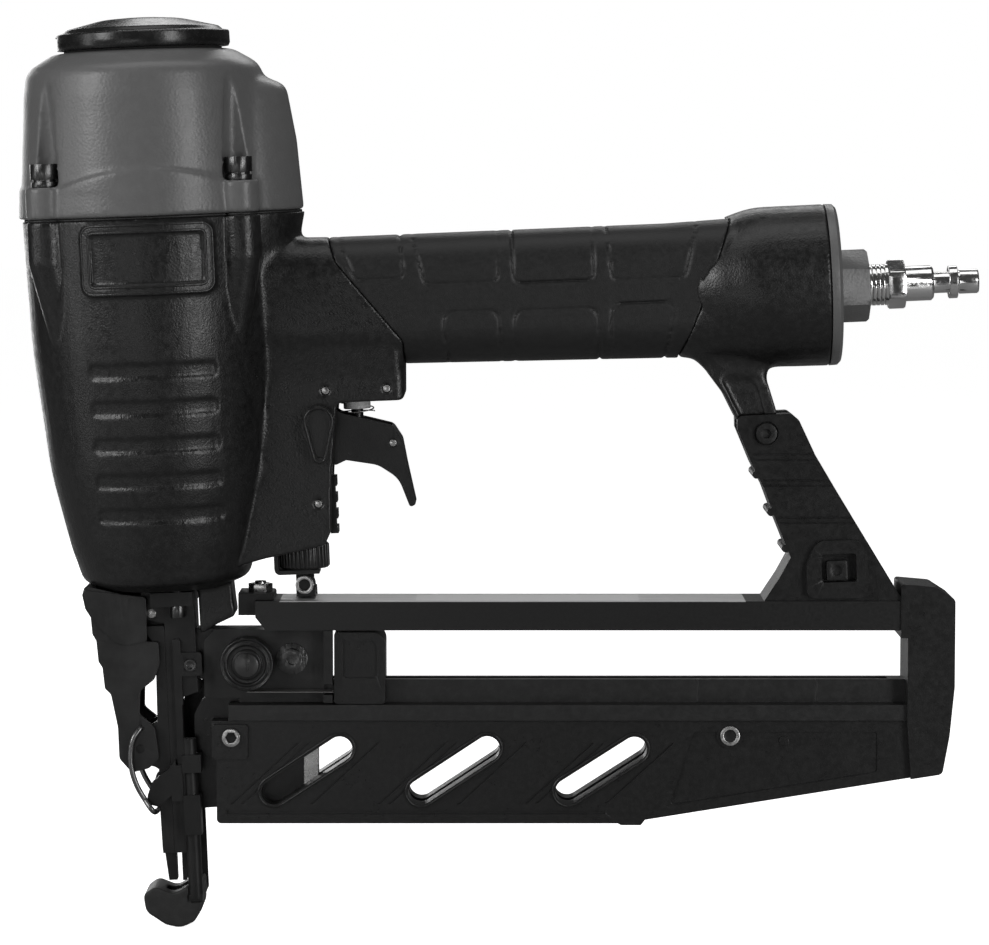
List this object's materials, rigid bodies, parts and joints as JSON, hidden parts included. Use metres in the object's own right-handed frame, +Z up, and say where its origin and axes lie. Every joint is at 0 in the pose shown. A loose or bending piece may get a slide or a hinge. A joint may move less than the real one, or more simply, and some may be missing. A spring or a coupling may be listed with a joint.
{
  "type": "pneumatic nail gun",
  "caption": "Air-powered finish nailer with a tapered round body, gripped handle, trigger, contact foot, latched nose door and a straight magazine joined to the handle by a strut.",
  "frame": {"origin": "the nail exit at the muzzle, on the drive axis", "axes": "+Z up the drive axis towards the cap, +X to the rear along the handle, +Y across the tool away from the selector lever's side"},
  "size_m": [0.3161, 0.0866, 0.3016],
  "materials": {
    "casting_black": "cast alloy under textured black paint",
    "casting_grey": "cast alloy under hammered grey paint",
    "steel_black": "black oxide, satin",
    "steel_bright": "zinc plated",
    "spring_steel": "drawn wire",
    "chrome": "bright nickel plating",
    "rail_aluminium": "black anodised",
    "cylinder_aluminium": "hard anodised",
    "plastic_black": "moulded, satin",
    "plastic_gloss": "moulded, semi-gloss",
    "plastic_white": "moulded",
    "rubber_grip": "matte rubber",
    "rubber_seal": "nitrile rubber"
  },
  "bodies": {
    "body": {"air_plug": "chrome", "beam_bracket": "steel_black", "body_housing": "casting_black", "bumper": "rubber_seal", "cap_screws": "steel_black", "contact_guide": "steel_black", "cover_screws": "steel_bright", "cylinder_cap": "casting_grey", "cylinder_sleeve": "cylinder_aluminium", "deflector_washer": "rubber_seal", "end_cap": "casting_grey", "feed_spring": "spring_steel", "fixed_pins": "steel_bright", "fixed_seals": "rubber_seal", "front_bracket": "rail_aluminium", "front_plate": "steel_black", "front_screws": "steel_black", "guide_block": "steel_black", "handle_grip": "rubber_grip", "head_valve_spring": "spring_steel", "magazine_beam": "rail_aluminium", "magazine_bolts": "steel_bright", "magazine_end_cap": "plastic_black", "magazine_rail": "steel_black", "magazine_side_far": "plastic_black", "magazine_side_near": "plastic_black", "magazine_track": "rail_aluminium", "nosepiece": "steel_black", "safety_spring": "spring_steel", "strut": "plastic_black", "trigger_spring": "spring_steel", "valve_body": "plastic_black", "valve_bushing": "plastic_white"},
    "deflector": {"exhaust_deflector": "plastic_gloss"},
    "head_valve": {"head_valve_piston": "plastic_black", "head_valve_o_ring": "rubber_seal"},
    "piston": {"piston": "cylinder_aluminium", "piston_o_ring": "rubber_seal", "driver_blade": "steel_bright"},
    "trigger": {"trigger": "plastic_black", "trip_lever_pin": "steel_bright"},
    "trip_lever": {"trip_lever": "steel_black"},
    "valve_stem": {"valve_stem": "plastic_black"},
    "selector": {"selector_lever": "plastic_black"},
    "safety_contact": {"contact_arm": "steel_black", "no_mar_foot": "rubber_seal", "depth_screw": "steel_black", "arm_rivet": "steel_bright", "upper_safety_arm": "steel_black"},
    "depth_wheel": {"depth_wheel": "plastic_black"},
    "nose_door": {"nose_door": "steel_black"},
    "latch_lever": {"latch_lever": "plastic_black", "lever_pin": "steel_black"},
    "latch_wire": {"latch_wire": "spring_steel"},
    "pusher": {"pusher_plate": "steel_bright", "pusher_carriage": "plastic_black", "pusher_handle": "plastic_black"},
    "spring_drum": {"spring_drum": "plastic_black"}
  },
  "joints": [
    {"name": "deflector_turn", "type": "hinge", "parent": "body", "child": "deflector", "pos_m": [0, 0, 0.28], "axis": [0, 0, 1], "continuous": true},
    {"name": "head_valve_slide", "type": "slide", "parent": "body", "child": "head_valve", "axis": [0, 0, 1], "range_m": [0, 0.004], "deforming": ["head_valve_spring"]},
    {"name": "piston_slide", "type": "slide", "parent": "body", "child": "piston", "axis": [0, 0, -1], "range_m": [0, 0.0708]},
    {"name": "trigger_hinge", "type": "hinge", "parent": "body", "child": "trigger", "pos_m": [0.0533, 0, 0.1522], "axis": [0, -1, 0], "range_deg": [0, 8]},
    {"name": "trip_lever_hinge", "type": "hinge", "parent": "trigger", "child": "trip_lever", "pos_m": [0.0772, 0, 0.144], "axis": [0, 1, 0], "range_deg": [0, 1]},
    {"name": "valve_stem_slide", "type": "slide", "parent": "body", "child": "valve_stem", "axis": [0, 0, 1], "range_m": [0, 0.002], "deforming": ["trigger_spring"]},
    {"name": "selector_turn", "type": "hinge", "parent": "body", "child": "selector", "pos_m": [0.0533, 0, 0.1522], "axis": [0, 1, 0], "range_deg": [0, 90]},
    {"name": "safety_slide", "type": "slide", "parent": "body", "child": "safety_contact", "axis": [0, 0, 1], "range_m": [0, 0.0065], "deforming": ["safety_spring"]},
    {"name": "depth_wheel_turn", "type": "hinge", "parent": "safety_contact", "child": "depth_wheel", "pos_m": [0.046, 0, 0.1073], "axis": [0, 0, 1], "continuous": true},
    {"name": "nose_door_hinge", "type": "hinge", "parent": "body", "child": "nose_door", "pos_m": [-0.005, 0, 0.0907], "axis": [0, 1, 0], "range_deg": [0, 23]},
    {"name": "latch_lever_hinge", "type": "hinge", "parent": "nose_door", "child": "latch_lever", "pos_m": [-0.0105, 0, 0.046], "axis": [0, -1, 0], "range_deg": [0, 100]},
    {"name": "latch_wire_hinge", "type": "hinge", "parent": "latch_lever", "child": "latch_wire", "pos_m": [-0.0101, 0, 0.0529], "axis": [0, 1, 0], "range_deg": [0, 88]},
    {"name": "pusher_slide", "type": "slide", "parent": "body", "child": "pusher", "axis": [0.9992, 0, -0.0393], "range_m": [0, 0.127], "deforming": ["feed_spring"]},
    {"name": "spring_drum_turn", "type": "hinge", "parent": "body", "child": "spring_drum", "pos_m": [0.02609, 0, 0.07303], "axis": [0, 1, 0], "range_deg": [-830, 0]}
  ],
  "couplings": [
    {"joint": "trip_lever_hinge", "follows": "trigger_hinge", "ratio": 0.12},
    {"joint": "valve_stem_slide", "follows": "trigger_hinge", "m_per_rad": 0.0136},
    {"joint": "nose_door_hinge", "follows": "latch_lever_hinge", "ratio": 0.22},
    {"joint": "latch_wire_hinge", "follows": "latch_lever_hinge", "ratio": 0.86},
    {"joint": "spring_drum_turn", "follows": "pusher_slide", "rad_per_m": -113.6}
  ]
}
